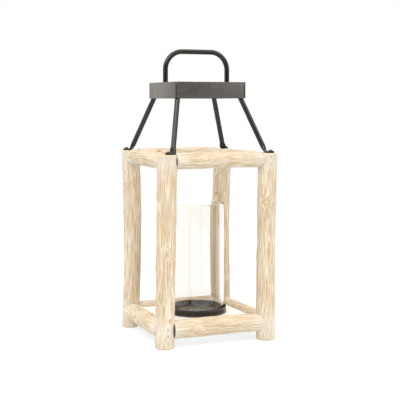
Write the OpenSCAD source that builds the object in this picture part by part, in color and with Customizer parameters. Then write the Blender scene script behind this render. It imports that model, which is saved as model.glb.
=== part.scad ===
// Hurricane candle lantern: a cube frame of peeled log pieces on short feet, with a board
// floor, a sheet metal tray and an open glass chimney. A square steel band with a rod handle
// stands above it on four rods. Millimetres, +Z up. The origin is on the floor, under the
// middle of the frame. Front is -Y.

/* [Log frame] */
// Spacing of the four posts, centre to centre
post_spacing = 166; // [150:1:190]
// Diameter of the posts
post_d = 29; // [27:0.5:32]
// Height of the posts from the floor
post_h = 293; // [280:1:340]
// Chamfer on both ends of a post
post_chamfer = 1.5; // [0.5:0.5:3]
// Diameter of the top rails
top_rail_d = 24; // [20:0.5:26]
// Height of the top rails' upper line above the posts' tops
top_rail_proud = 2; // [0:0.5:2]
// Diameter of the bottom rails
bottom_rail_d = 28; // [24:0.5:29]
// Clear height under the bottom rails
foot_clearance = 13.5; // [10:0.5:20]
// Depth of the shallow seat that each rail end has in its post
rail_seat = 2.5; // [1:0.5:4]
// Chamfer on both ends of a rail, which keeps two rails clear of each other in a corner
rail_chamfer = 2.5; // [2:0.5:3]

/* [Floor and tray] */
// Height of the board's upper face above the floor
board_top = 34; // [32:1:38]
// Thickness of the board
board_t = 10; // [8:1:12]
// Outer diameter of the tray
tray_d = 96; // [94:1:100]
// Height of the tray
tray_h = 11; // [8:1:14]
// Sheet thickness of the tray
tray_t = 1.2; // [1:0.1:1.5]

/* [Glass chimney] */
// Outer diameter of the glass
glass_d = 88; // [80:1:90]
// Length of the glass
glass_h = 176; // [140:1:180]
// Wall thickness of the glass
glass_t = 3; // [2:0.5:4]

/* [Metal top] */
// Outer width of the square band
band_w = 117; // [114:1:122]
// Height of the band
band_h = 25; // [20:1:30]
// Thickness of the band's flat bar
band_t = 2; // [1.5:0.5:3]
// Height of the band's lower edge above the floor
band_z = 377; // [365:1:390]
// Diameter of the stay and handle rods
rod_d = 8; // [6:0.5:8]
// Height of the handle's upper line above the floor
handle_top = 454; // [445:1:470]
// Bend radius of the handle's corners, to the rod's centre
handle_bend = 28; // [20:1:35]

/* [Hidden] */

wood = [0.91, 0.84, 0.73];
steel = [0.22, 0.21, 0.20];
bright = [0.55, 0.54, 0.52];

$fn = 96;
fine = 32;         // facets of the small round pieces
fit = 0.1;         // clearance of a seated rail or a drilled board, on the radius or the gap
pilot = 0.05;      // clearance of a nail or screw in its hole, on the radius

post_c = post_spacing / 2;
post_r = post_d / 2;
top_rail_z = post_h + top_rail_proud - top_rail_d / 2;
bottom_rail_z = foot_clearance + bottom_rail_d / 2;
seat_x = post_c - post_r + rail_seat;   // where a rail's flat end stands in its post
rail_len = 2 * seat_x;

// Left, right and front, back as signs
CORNERS = [[-1, -1], [1, -1], [-1, 1], [1, 1]];
SIDES = [-1, 1];

// Brads that hold the rails: two to a joint, from outside through the post
brad_d = 1.6;
brad_head_d = 3;
brad_head_t = 0.8;
brad_len = 45;
brad_gap = 10;     // between the two brads of one joint
brad_cross = 1.2;  // how far the brads of one direction are shifted up, the others down

// Finish nails that hold the board: set under the surface of the bottom rails
board_nail_len = 40;
board_nail_set = 1.5;
board_nail_x = 40;
board_nail_z = 28;
board_w = post_spacing - bottom_rail_d - 2 * fit;

// Countersunk screw through the tray's floor
tray_screw_r = 1.75;
tray_screw_len = 9;
tray_edge = 1;     // chamfer round the tray's lower edge

// Where the glass stands
glass_z = board_top + tray_t + pilot;
glass_rim = 0.8;   // eased edge of the rims

// Rods. A stay runs up in a corner of the band, bends outward and ends as a flat tab
rod_r = rod_d / 2;
weld_gap = 0.2;                          // between a rod and the band's inner face
rod_c = band_w / 2 - band_t - rod_r - weld_gap;  // centre of a stay or handle leg in the band
knee_r = rod_r + 0.15;                   // slight swelling at the sharp bend under the band
knee_z = band_z + 1;
stay_top = band_z + band_h - 5;
heel_r = rod_r + 0.2;                    // swelling where the rod is hammered flat
tab_w = 11;
tab_t = 3;
tab_root = 1.5;
web_w = 7.4;                             // the slope from the heel into the tab
web_l = 4.5;
web_sunk = 0.2;                          // how deep its end is buried in the tab
foot_a = post_c - 1;                     // heel of a stay, from the middle in X and in Y
screw_a = post_c + 5;                    // its screw
// The front left stay is bent by hand to come down over the rail's end
HEEL = [[11 - post_c, -post_c - 0.4, 6.5], [foot_a, -foot_a, heel_r],
        [-foot_a, foot_a, heel_r], [foot_a, foot_a, heel_r]];
TAB_SCREW = [[3.2 - post_c, -post_c - 4], [screw_a, -screw_a],
             [-screw_a, screw_a], [screw_a, screw_a]];

// Round-head screws through the tabs
screw_r = 1.75;
screw_len = 22;
screw_head_r = 3.4;
screw_head_h = 2.2;

// Handle
leg_z = band_z + 3;
handle_z = handle_top - rod_r;           // centre of the top bar
bend_z = handle_z - handle_bend;

// ---- shared shapes ----

// A peeled log lying along X or Y on one side of the frame
module lying_log(along_x, side, z, d, extra = 0) {
    length = rail_len;
    place = along_x ? [-length / 2, side * post_c, z] : [side * post_c, -length / 2, z];
    turn = along_x ? [0, 90, 0] : [-90, 0, 0];
    r = d / 2 + extra;
    translate(place) rotate(turn) rotate_extrude()
        polygon([[0, 0], [r - rail_chamfer, 0], [r, rail_chamfer],
                 [r, length - rail_chamfer], [r - rail_chamfer, length], [0, length]]);
}

// A brad pointing along +X, with the outside of its head at the origin
module brad(length, head_d, head_t, clear) {
    rotate([0, 90, 0]) {
        cylinder(h = head_t, d = head_d + 2 * clear, $fn = fine);
        translate([0, 0, head_t])
            cylinder(h = length - head_t + clear, d = brad_d + 2 * clear, $fn = fine);
    }
}

// The four brads that enter one post at the height of one ring of rails
module corner_brads(corner, rail_z, clear = 0) {
    outside = post_c + post_r - pilot;
    for (up = SIDES) {
        z = rail_z + up * brad_gap / 2;
        translate([corner[0] * outside, corner[1] * post_c, z + brad_cross])
            rotate(corner[0] > 0 ? 180 : 0) brad(brad_len, brad_head_d, brad_head_t, clear);
        translate([corner[0] * post_c, corner[1] * outside, z - brad_cross])
            rotate(corner[1] > 0 ? -90 : 90) brad(brad_len, brad_head_d, brad_head_t, clear);
    }
}

// The two finish nails on one side of the board
module side_board_nails(along_x, side, clear = 0) {
    outside = post_c + bottom_rail_d / 2 - board_nail_set;
    for (end = SIDES) {
        place = along_x ? [end * board_nail_x, side * outside] : [side * outside, end * board_nail_x];
        turn = (along_x ? 90 : 0) + (side > 0 ? 180 : 0);
        translate([place[0], place[1], board_nail_z])
            rotate(turn) brad(board_nail_len, brad_head_d, brad_head_t, clear);
    }
}

// A vertical wood screw's shank under a point
module shank(place, z, length, clear = 0) {
    translate([place[0], place[1], z - length])
        cylinder(h = length, r = screw_r + clear, $fn = fine);
}

// ---- log frame ----

module post(i) {
    corner = CORNERS[i];
    color(wood) difference() {
        translate([corner[0] * post_c, corner[1] * post_c, 0]) rotate_extrude()
            polygon([[0, 0], [post_r - post_chamfer, 0], [post_r, post_chamfer],
                     [post_r, post_h - post_chamfer], [post_r - post_chamfer, post_h], [0, post_h]]);
        lying_log(true, corner[1], top_rail_z, top_rail_d, fit);
        lying_log(false, corner[0], top_rail_z, top_rail_d, fit);
        lying_log(true, corner[1], bottom_rail_z, bottom_rail_d, fit);
        lying_log(false, corner[0], bottom_rail_z, bottom_rail_d, fit);
        corner_brads(corner, top_rail_z, pilot);
        corner_brads(corner, bottom_rail_z, pilot);
        shank(TAB_SCREW[i], post_h + tab_t, screw_len + tab_t, pilot);
    }
}

module top_rail(along_x, side) {
    color(wood) difference() {
        lying_log(along_x, side, top_rail_z, top_rail_d);
        for (c = CORNERS) if ((along_x ? c[1] : c[0]) == side) corner_brads(c, top_rail_z, pilot);
    }
}

module bottom_rail(along_x, side) {
    color(wood) difference() {
        lying_log(along_x, side, bottom_rail_z, bottom_rail_d);
        for (c = CORNERS) if ((along_x ? c[1] : c[0]) == side) corner_brads(c, bottom_rail_z, pilot);
        side_board_nails(along_x, side, pilot);
    }
}

module platform_board() {
    color(wood) difference() {
        translate([-board_w / 2, -board_w / 2, board_top - board_t]) cube([board_w, board_w, board_t]);
        for (side = SIDES) for (along_x = [true, false]) side_board_nails(along_x, side, pilot);
        translate([0, 0, board_top - tray_screw_len])
            cylinder(h = tray_screw_len + 1, r = tray_screw_r + pilot, $fn = fine);
    }
}

module top_rail_nails() {
    color(bright) for (c = CORNERS) corner_brads(c, top_rail_z);
}

module bottom_rail_nails() {
    color(bright) for (c = CORNERS) corner_brads(c, bottom_rail_z);
}

module board_nails() {
    color(bright) for (side = SIDES) for (along_x = [true, false]) side_board_nails(along_x, side);
}

// ---- tray and glass ----

module candle_tray() {
    r = tray_d / 2;
    color(steel) translate([0, 0, board_top]) difference() {
        rotate_extrude() polygon([
            [0, 0], [r - tray_edge, 0], [r, tray_edge], [r, tray_h], [r - tray_t, tray_h],
            [r - tray_t, tray_t + tray_edge], [r - tray_t - tray_edge, tray_t], [0, tray_t]]);
        translate([0, 0, -1]) cylinder(h = 1 + tray_t, r = tray_screw_r + pilot, $fn = fine);
        cylinder(h = tray_t, r1 = tray_screw_r + pilot, r2 = tray_screw_r + tray_t + pilot, $fn = fine);
    }
}

module tray_screw() {
    color(bright) translate([0, 0, board_top]) {
        translate([0, 0, 0.3 - tray_screw_len])
            cylinder(h = tray_screw_len - 0.3, r = tray_screw_r, $fn = fine);
        cylinder(h = tray_t, r1 = tray_screw_r, r2 = tray_screw_r + tray_t, $fn = fine);
    }
}

module glass_cylinder() {
    r = glass_d / 2;
    color([0.86, 0.92, 0.92, 0.35]) translate([0, 0, glass_z]) rotate_extrude() polygon([
        [r - glass_rim, 0], [r, glass_rim], [r, glass_h - glass_rim], [r - glass_rim, glass_h],
        [r - glass_t + glass_rim, glass_h], [r - glass_t, glass_h - glass_rim],
        [r - glass_t, glass_rim], [r - glass_t + glass_rim, 0]]);
}

// ---- metal top ----

module top_band() {
    outer = band_w / 2;
    inner = outer - band_t;
    color(steel) translate([0, 0, band_z]) difference() {
        translate([-outer, -outer, 0]) cube([band_w, band_w, band_h]);
        translate([-inner, -inner, -1]) cube([2 * inner, 2 * inner, band_h + 2]);
    }
}

module handle() {
    bar = rod_c - handle_bend;
    color(steel) {
        for (side = SIDES) {
            translate([side * rod_c, 0, leg_z]) cylinder(h = bend_z - leg_z, r = rod_r);
            translate([side * bar, 0, bend_z]) rotate([90, 0, side > 0 ? 0 : 180])
                rotate_extrude(angle = 90) translate([handle_bend, 0]) circle(r = rod_r);
        }
        translate([-bar, 0, handle_z]) rotate([0, 90, 0]) cylinder(h = 2 * bar, r = rod_r);
    }
}

// The hammered slope from the swollen heel of a stay down into its flat tab, along +X
module heel_web(heel_h) {
    rotate([90, 0, 0]) linear_extrude(height = web_w, center = true)
        polygon([[0, heel_h - 3], [0, heel_h + 2.5], [web_l, tab_t - web_sunk],
                 [web_l, web_sunk], [web_l / 2, web_sunk]]);
}

// One stay: straight up in the band's corner, a sharp bend, a straight run down to the heel,
// and the end hammered to a flat tab that is screwed to the post
module stay(i) {
    corner = CORNERS[i];
    knee = [corner[0] * rod_c, corner[1] * rod_c, knee_z];
    heel = [HEEL[i][0], HEEL[i][1], post_h + HEEL[i][2]];
    run = heel - knee;
    run_flat = sqrt(run[0] * run[0] + run[1] * run[1]);
    hole = TAB_SCREW[i];
    tab_run = [hole[0] - heel[0], hole[1] - heel[1]];
    tab = norm(tab_run);
    tab_turn = atan2(tab_run[1], tab_run[0]);
    color(steel) difference() {
        union() {
            translate(knee) cylinder(h = stay_top - knee_z, r = rod_r);
            translate(knee) sphere(r = knee_r);
            translate(knee) rotate([0, atan2(run_flat, run[2]), atan2(run[1], run[0])])
                cylinder(h = norm(run), r = rod_r);
            translate(heel) rotate([90, 0, tab_turn]) cylinder(h = 2 * heel_r, r = heel_r, center = true);
            translate([heel[0], heel[1], post_h]) rotate(tab_turn) heel_web(HEEL[i][2]);
            translate([hole[0], hole[1], post_h]) rotate(tab_turn) {
                translate([tab_root - tab, -tab_w / 2, 0]) cube([tab - tab_root, tab_w, tab_t]);
                cylinder(h = tab_t, r = tab_w / 2);
            }
        }
        shank(hole, post_h + tab_t + 1, tab_t + 2, pilot);
    }
}

module stay_screws() {
    color(steel) for (place = TAB_SCREW) {
        shank(place, post_h + tab_t, screw_len);
        translate([place[0], place[1], post_h + tab_t]) rotate_extrude($fn = fine) intersection() {
            translate([0, screw_head_h - screw_head_r * 1.2]) circle(r = screw_head_r * 1.2);
            square([screw_head_r, screw_head_h]);
        }
    }
}

post(0);  // post_front_left
post(1);  // post_front_right
post(2);  // post_back_left
post(3);  // post_back_right
top_rail(true, -1);  // top_rail_front
top_rail(true, 1);  // top_rail_back
top_rail(false, -1);  // top_rail_left
top_rail(false, 1);  // top_rail_right
bottom_rail(true, -1);  // bottom_rail_front
bottom_rail(true, 1);  // bottom_rail_back
bottom_rail(false, -1);  // bottom_rail_left
bottom_rail(false, 1);  // bottom_rail_right
platform_board();
candle_tray();
tray_screw();
glass_cylinder();
top_band();
handle();
stay(0);  // stay_front_left
stay(1);  // stay_front_right
stay(2);  // stay_back_left
stay(3);  // stay_back_right
stay_screws();
top_rail_nails();
bottom_rail_nails();
board_nails();
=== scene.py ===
# %% [markdown]
# # A candle lantern made of peeled logs
# Twelve short logs make a square frame. A board closes its floor, a black tray and an open
# glass chimney stand on the board, and four black rods carry a square band with a handle.
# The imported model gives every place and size, in metres. Each piece below reads its box from
# there, so nothing has to be fitted by eye.

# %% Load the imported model
import math
from functools import partial

import bmesh
import bpy
import numpy as np
from mathutils import Matrix, Vector


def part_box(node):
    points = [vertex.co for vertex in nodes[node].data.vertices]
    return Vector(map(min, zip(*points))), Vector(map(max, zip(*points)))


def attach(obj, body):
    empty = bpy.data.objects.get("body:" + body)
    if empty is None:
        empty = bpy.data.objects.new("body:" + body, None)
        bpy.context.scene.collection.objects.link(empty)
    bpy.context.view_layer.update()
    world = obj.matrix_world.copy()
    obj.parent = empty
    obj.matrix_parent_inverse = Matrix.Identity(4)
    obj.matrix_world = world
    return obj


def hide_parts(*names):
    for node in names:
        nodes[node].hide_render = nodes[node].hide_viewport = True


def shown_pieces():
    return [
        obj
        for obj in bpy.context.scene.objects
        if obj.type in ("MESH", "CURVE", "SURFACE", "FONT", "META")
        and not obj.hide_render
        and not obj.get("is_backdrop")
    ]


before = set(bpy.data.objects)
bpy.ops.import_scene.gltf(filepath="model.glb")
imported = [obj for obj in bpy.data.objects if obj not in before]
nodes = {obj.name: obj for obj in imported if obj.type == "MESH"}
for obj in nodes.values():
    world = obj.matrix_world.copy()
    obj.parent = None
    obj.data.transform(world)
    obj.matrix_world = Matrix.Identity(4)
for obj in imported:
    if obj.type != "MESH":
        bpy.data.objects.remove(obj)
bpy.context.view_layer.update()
MM = 0.001
BODY, LOOSE = "frame", "chimney"


def middle(node):
    """The centre of a CAD node's box."""
    low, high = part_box(node)
    return (Vector(low) + Vector(high)) / 2


def extent(node):
    """The size of a CAD node's box."""
    low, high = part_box(node)
    return Vector(high) - Vector(low)


# %% [markdown]
# ## Small helpers
# Colours are written as hex, as a paint chart gives them, and turned to linear light once.
# One function adds any node to any tree, with its settings and its links. Sums are written
# with short names such as MUL and V_ADD, so every tree below reads as a list of steps.

# %% Colour, node and mesh helpers
def colour(hex_code):
    """An sRGB hex colour as linear RGBA."""
    parts = [int(hex_code[i:i + 2], 16) / 255 for i in (0, 2, 4)]
    return (*[c / 12.92 if c <= 0.04045 else ((c + 0.055) / 1.055) ** 2.4 for c in parts], 1.0)


def fill(node, values):
    """Fills sockets of a node by name or number. An output becomes a link."""
    for key, value in values.items():
        if isinstance(value, bpy.types.NodeSocket):
            node.id_data.links.new(value, node.inputs[key])
        else:
            node.inputs[key].default_value = value


def add(tree, kind, *values, out=0, **settings):
    """Adds a node and returns its output out, or the node itself for None. Values fill the
    sockets in order, or one dict fills them by name or number."""
    kind, preset = (kind, {}) if isinstance(kind, str) else kind
    node = tree.nodes.new(kind)
    for key, value in {**preset, **settings}.items():
        setattr(node, key, value)
    by_name = values and isinstance(values[0], dict)
    fill(node, values[0] if by_name else dict(enumerate(values)))
    return node if out is None else node.outputs[out]


# The kinds of node that are used most, by short names. Sums come with their operation.
JOIN, SPLIT, NOISE, RANGE, BUMP = ("ShaderNodeCombineXYZ", "ShaderNodeSeparateXYZ",
                                   "ShaderNodeTexNoise", "ShaderNodeMapRange", "ShaderNodeBump")
MOVE, STORE = "GeometryNodeSetPosition", "GeometryNodeStoreNamedAttribute"
BLEND = ("ShaderNodeMix", {"data_type": "RGBA"})
ADD, SUB, MUL, DIV, POW, MIN, MAX, SQRT, EXP, ABS, OVER, UNDER = [
    ("ShaderNodeMath", {"operation": operation}) for operation in (
        "ADD", "SUBTRACT", "MULTIPLY", "DIVIDE", "POWER", "MINIMUM", "MAXIMUM", "SQRT",
        "EXPONENT", "ABSOLUTE", "GREATER_THAN", "LESS_THAN")]
V_ADD, V_SUB, V_MUL, V_DIV, V_MIN, V_MAX, SCALE, LENGTH, UNIT, DOT = [
    ("ShaderNodeVectorMath", {"operation": operation}) for operation in (
        "ADD", "SUBTRACT", "MULTIPLY", "DIVIDE", "MINIMUM", "MAXIMUM", "SCALE", "LENGTH",
        "NORMALIZE", "DOT_PRODUCT")]


def new_material(name):
    """A material, its shader node, and the call that adds nodes to it."""
    material = bpy.data.materials.new(name)
    material.use_nodes = True
    shader = material.node_tree.nodes["Principled BSDF"]
    return material, shader, partial(add, material.node_tree)


def new_object(name, mesh, material):
    """An object in the scene with one material."""
    obj = bpy.data.objects.new(name, mesh)
    bpy.context.scene.collection.objects.link(obj)
    obj.data.materials.clear()
    obj.data.materials.append(material)
    return obj


def make_piece(mesh, material, slot, *replaced, body=BODY, smooth_angle=35):
    """A finished piece, named like its mesh and smooth where faces meet under an angle. It is
    hung on the body it rides on, and the CAD nodes it replaces are hidden. slot, its finish,
    is not used."""
    obj = new_object(mesh.name, mesh, material)
    mesh.polygons.foreach_set("use_smooth", [True] * len(mesh.polygons))
    mesh.set_sharp_from_angle(angle=math.radians(smooth_angle))
    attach(obj, body)
    if replaced:
        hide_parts(*replaced)
    print(f"{obj.name}: {len(mesh.polygons)} faces on {body}")


# %% [markdown]
# ## Whitewashed wood
# The logs are peeled pine, brushed with thinned white paint and rubbed back. Paint stays in
# the soft grain and at the joints, and the tan wood shows in long streaks between. The colour
# reads each log's own coordinates, stored on it as it is made, so that the streaks follow a
# bent log and open round a knot. Pine is not shiny: its roughness stays near 0.8.

# %% Whitewashed wood material
LOG_STREAK_MM, LOG_STREAK_LENGTH_MM = 1.15, 34
BOARD_STREAK_MM, BOARD_STREAK_LENGTH_MM = 2.4, 80
STREAK_RELIEF_MM, DRY_WOOD_SHINE = 0.22, 0.3


def wood_material(name, streak_mm, streak_length_mm, wash, painted_light_cover):
    """Painted and rubbed softwood. The streaks are this wide and long. wash is how much paint
    stayed in patches. The last argument is how much of a near-white layer lies over
    everything: painted light that brightens the whole surface."""
    material, shader, n = new_material(name)
    stored = {key: n("ShaderNodeAttribute", attribute_name=key, out=None).outputs
              for key in ("grain", "knot", "end", "joint", "dark_end")}

    def streaks(width, length, detail, low, high):
        """A mask of streaks along the log, this many streaks wide and long."""
        width, length = width * streak_mm * MM, length * streak_length_mm * MM
        place = n("ShaderNodeMapping", {"Vector": stored["grain"]["Vector"],
                                        "Scale": (1 / width, 1 / width, 1 / length)})
        drawn = n(NOISE, {"Vector": place, "Scale": 1.0, "Detail": detail, "Roughness": 0.6})
        return n(RANGE, drawn, low, high)

    broad = streaks(6, 2.5, 2.0, 0.38, 0.62)
    tan = streaks(1, 1, 2.0, 0.47, 0.60)
    fine = streaks(0.55, 0.9, 1.0, 0.50, 0.59)
    brown = streaks(0.7, 0.7, 2.0, 0.60, 0.67)
    pale = streaks(0.65, 1.1, 1.0, 0.52, 0.59)
    paint = streaks(3, 0.8, 4.0, 0.62 - 0.22 * wash, 0.74)

    # From bare wood up: each layer has its colour, where it lies and how strongly it covers.
    tint = n(BLEND, {0: broad, 6: colour("DDCBAC"), 7: colour("D3BB96")}, out=2)
    layers = ((tan, 0.60, "BC9B6E"), (fine, 0.45, "A5855E"), (pale, 0.80, "F7EEDC"),
              (brown, 0.42, "7F6248"), (paint, 0.60 + 0.15 * wash, "E3DBCC"),
              (stored["joint"]["Fac"], 0.45, "E6E0D4"), (stored["knot"]["Fac"], 0.75, "B5834C"),
              # The nearly black layer is painted shade: the shadow in the open gap at a rail's
              # square end.
              (stored["end"]["Fac"], 0.60, "DDC49C"), (stored["dark_end"]["Fac"], 0.90, "2A1E15"),
              # Painted light: a near-white layer over everything, which brightens the surface as
              # if more light fell on it.
              (painted_light_cover, 1.0, "FFFCF3"))
    for mask, cover, hex_code in layers:
        amount = n(MUL, mask, cover)
        tint = n(BLEND, {0: amount, 6: tint, 7: colour(hex_code)}, out=2)

    rough = n(RANGE, {0: fine, 3: 0.70, 4: 0.88})
    relief = n(SUB, pale, fine)
    bump = n(BUMP, {"Height": relief, "Strength": 0.8, "Distance": STREAK_RELIEF_MM * MM})
    fill(shader, {"Base Color": tint, "Roughness": rough, "Normal": bump,
                  "Specular IOR Level": DRY_WOOD_SHINE})
    return material


log_wood = wood_material("peeled_pine_whitewashed", LOG_STREAK_MM, LOG_STREAK_LENGTH_MM, 0.5, 0.0)
# The board gets most of the near-white layer: painted light that makes it as bright as a well lit
# board.
board_wood = wood_material("planed_pine_whitewashed", BOARD_STREAK_MM, BOARD_STREAK_LENGTH_MM,
                           1.0, 0.92)
print("wood finishes:", log_wood.name, board_wood.name)


# %% [markdown]
# ## A peeled log
# A log cleaned with a drawknife keeps long shallow cuts, a slight bow and eased ends. All
# twelve follow one rule, so one Geometry Nodes tree makes them: a fine tube whose points are
# moved in and out by noises that are stretched along the grain. Its inputs are a log's own
# length, radius, bow and seed. The tree also stores the straight coordinates on every point,
# pulled together near a knot, and the wood material reads those.

# %% The log tree
# Sizes of what shows on a log's skin, across and along it, and how far it stands out
KNOT_CELL = (26 * MM, 26 * MM, 85 * MM)
KNOT_WIDE, SWELL_WIDE, SWELL_HIGH, PULL_WIDE, PULL = 2.6 * MM, 7.5 * MM, 0.6 * MM, 6 * MM, -0.55
WAVE_WIDE, WAVE_LONG, WAVE_DEEP = 13 * MM, 100 * MM, 1.6 * MM
CUT_WIDE, CUT_LONG = 7.5 * MM, 55 * MM
GRAIN_WIDE, GRAIN_LONG = 2.2 * MM, 45 * MM
CHIP_WIDE, CHIP_LONG, RIM_WIDE = 6 * MM, 50 * MM, 1.9 * MM
PAINT_RING, COPE_PLAY = 12 * MM, 2.2 * MM


def new_tree(name, inputs):
    """A Geometry Nodes tree with one output and these named inputs. Each is a default value,
    or the name of a socket type that has none. Returns the tree and its input sockets."""
    tree = bpy.data.node_groups.new(name, "GeometryNodeTree")
    tree.interface.new_socket("Geometry", in_out="OUTPUT", socket_type="NodeSocketGeometry")
    kinds = {float: "Float", int: "Int", tuple: "Vector"}
    for key, value in inputs.items():
        kind = value if isinstance(value, str) else kinds[type(value)]
        made = tree.interface.new_socket(key, in_out="INPUT", socket_type="NodeSocket" + kind)
        if not isinstance(value, str):
            made.default_value = value
    return tree, add(tree, "NodeGroupInput", out=None).outputs


def hand_over(tree, shape, material):
    """The last steps of every tree: real geometry, one material, and out."""
    shape = add(tree, "GeometryNodeRealizeInstances", shape)
    shape = add(tree, "GeometryNodeSetMaterial", {"Geometry": shape, "Material": material})
    add(tree, "NodeGroupOutput", shape, out=None)
    return tree


def log_tree():
    """The tree that makes one log along Z, its middle at the origin."""
    tree, inp = new_tree("peeled_log", {
        "Length": 0.3, "Radius": 0.0145, "Taper": 0.0, "Rings": 100, "Seed": 0.0,
        "Start Shift": (0.0, 0.0, 0.0), "End Shift": (0.0, 0.0, 0.0), "Bow": (0.0, 0.0, 0.0),
        "Cut Depth": 0.0004, "Grain Depth": 0.00015, "Eased Edge": 0.0016, "Start Cope": 0.0,
        "End Cope": 0.0, "Post Radius": 0.0145, "Dark Start": 0.0, "Joint Low": 0.0,
        "Joint High": 0.0, "Material": "Material"})
    n = partial(add, tree)

    tube = n("GeometryNodeMeshCylinder",
             {"Vertices": 112, "Side Segments": inp["Rings"], "Fill Segments": 9,
              "Radius": inp["Radius"], "Depth": inp["Length"]}, fill_type="TRIANGLE_FAN")
    x, y, z = n(SPLIT, n("GeometryNodeInputPosition"), out=None).outputs
    flat = n(JOIN, x, y, 0.0)
    rho = n(LENGTH, flat, out="Value")
    around = n(UNIT, flat)
    ax, ay, _ = n(SPLIT, around, out=None).outputs
    half = n(MUL, inp["Length"], 0.5)
    t = n(DIV, n(ADD, z, half), inp["Length"])
    off_middle = n(ABS, n(SUB, n(MUL, t, 2.0), 1.0))
    q = n(DIV, rho, inp["Radius"])

    def noise(width, length, detail, shift):
        """A noise on the log's skin, this wide and long in metres, from 0 to 1."""
        spread = n(DIV, inp["Radius"], width)
        place = n(JOIN, n(MUL, ax, spread), n(MUL, ay, spread), n(DIV, z, length))
        w = n(ADD, inp["Seed"], shift)
        return n(NOISE, {"Vector": place, "W": w, "Scale": 1.0, "Detail": detail},
                 noise_dimensions="4D", out="Fac")

    # Knots: cells much longer than wide, and the true distance to the centre of a cell.
    seeded = n(V_ADD, n(JOIN, x, y, z), n(SCALE, {0: (0.31, 0.17, 0.23), "Scale": inp["Seed"]}))
    nearest = n("ShaderNodeTexVoronoi", {"Vector": n(V_DIV, seeded, KNOT_CELL), "Scale": 1.0},
                out="Position")
    centre = n(V_MUL, nearest, KNOT_CELL)
    away = n(V_SUB, seeded, centre)
    reach = n(LENGTH, away, out="Value")

    def hill(distance, width):
        """1 at no distance, falling to 0 over about twice the width."""
        ratio = n(DIV, distance, width)
        return n(EXP, n(MUL, n(MUL, ratio, ratio), -0.5))

    knot = hill(reach, KNOT_WIDE)
    swell = hill(reach, SWELL_WIDE)

    # How far the skin stands in or out.
    broad = n(SUB, noise(WAVE_WIDE, WAVE_LONG, 1.0, 1.0), 0.5)
    cut_spread = n(DIV, inp["Radius"], CUT_WIDE)
    cut_place = n(V_ADD, n(JOIN, n(MUL, ax, cut_spread), n(MUL, ay, cut_spread),
                           n(DIV, z, CUT_LONG)),
                  n(SCALE, {0: (3.7, 5.1, 2.3), "Scale": inp["Seed"]}))
    cut = n("ShaderNodeTexVoronoi", {"Vector": cut_place, "Scale": 1.0}, feature="SMOOTH_F1",
            out="Distance")
    grain = n(SUB, noise(GRAIN_WIDE, GRAIN_LONG, 2.0, 7.0), 0.5)
    out = n(MUL, broad, WAVE_DEEP)
    out = n(ADD, out, n(MUL, n(SUB, cut, 0.45), inp["Cut Depth"]))
    out = n(ADD, out, n(MUL, grain, n(MUL, inp["Grain Depth"], 2.0)))
    out = n(ADD, out, n(MUL, swell, SWELL_HIGH))
    taper = n(MUL, inp["Taper"], n(SUB, t, 0.5))
    size = n(ADD, 1.0, n(ADD, taper, n(DIV, out, inp["Radius"])))

    # Ends: an uneven eased edge, and a saddle where the log is coped to a round post.
    ragged = n(ADD, 0.5, noise(CHIP_WIDE, CHIP_LONG, 1.0, 13.0))
    ease = n(MUL, inp["Eased Edge"], ragged)
    rim = n(SUB, 1.0, n(DIV, RIM_WIDE, inp["Radius"]))
    drop = n(RANGE, {0: q, 1: rim, 2: 1.0, 3: 0.0, 4: ease})
    limit = n(SUB, half, drop)
    z_kept = n(MAX, n(MIN, z, limit), n(MUL, limit, -1.0))
    post_2 = n(MUL, inp["Post Radius"], inp["Post Radius"])
    gap = n(SQRT, n(MAX, n(SUB, post_2, n(MUL, x, x)), 0.0))
    saddle = n(SUB, n(SUB, inp["Post Radius"], COPE_PLAY), gap)
    at_end = n(POW, off_middle, 8.0)
    right = n(MUL, n(OVER, t, 0.5), inp["End Cope"])
    left = n(MUL, n(UNDER, t, 0.5), inp["Start Cope"])
    reach_on = n(MUL, n(SUB, right, left), n(MUL, saddle, at_end))
    z_new = n(ADD, z_kept, reach_on)

    # The bent axis.
    bend = n(SUB, 1.0, n(POW, off_middle, 2.0))
    shift = n("ShaderNodeMix", {0: t, 4: inp["Start Shift"], 5: inp["End Shift"]},
              data_type="VECTOR", out=1)
    shift = n(V_ADD, shift, n(SCALE, {0: inp["Bow"], "Scale": bend}))
    skin = n(SCALE, {0: flat, "Scale": size})
    place = n(V_ADD, n(V_ADD, skin, shift), n(JOIN, 0.0, 0.0, z_new))

    # The straight coordinates, pulled together round a knot, for the wood's colour.
    pull = n(MUL, hill(reach, PULL_WIDE), PULL)
    ux, uy, _ = n(SPLIT, away, out=None).outputs
    straight = n(V_ADD, n(JOIN, x, y, z), n(SCALE, {0: n(JOIN, ux, uy, 0.0), "Scale": pull}))
    straight = n(V_ADD, straight, n(SCALE, {0: (0.41, 0.29, 0.53), "Scale": inp["Seed"]}))
    near_joint = n(MAX, hill(n(SUB, z, inp["Joint Low"]), PAINT_RING),
                   hill(n(SUB, z, inp["Joint High"]), PAINT_RING))
    cap = n(OVER, n(ABS, z), n(SUB, half, 0.1 * MM))
    inside = n(UNDER, q, 0.97)

    # What the wood's colour reads from each point of the log
    end = n(MUL, cap, inside)
    # Painted shade: the start cap of a rail is marked to be painted nearly black, the shade of an
    # open joint gap.
    dark = n(MUL, n(MUL, cap, n(UNDER, t, 0.5)), inp["Dark Start"])
    shape = n(STORE, {"Geometry": tube, "Name": "grain", "Value": straight},
              data_type="FLOAT_VECTOR")
    for key, value in {"knot": knot, "joint": near_joint, "end": end, "dark_end": dark}.items():
        shape = n(STORE, {"Geometry": shape, "Name": key, "Value": value}, data_type="FLOAT")
    shape = n(MOVE, {"Geometry": shape, "Position": place})
    return hand_over(tree, shape, inp["Material"])


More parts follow.
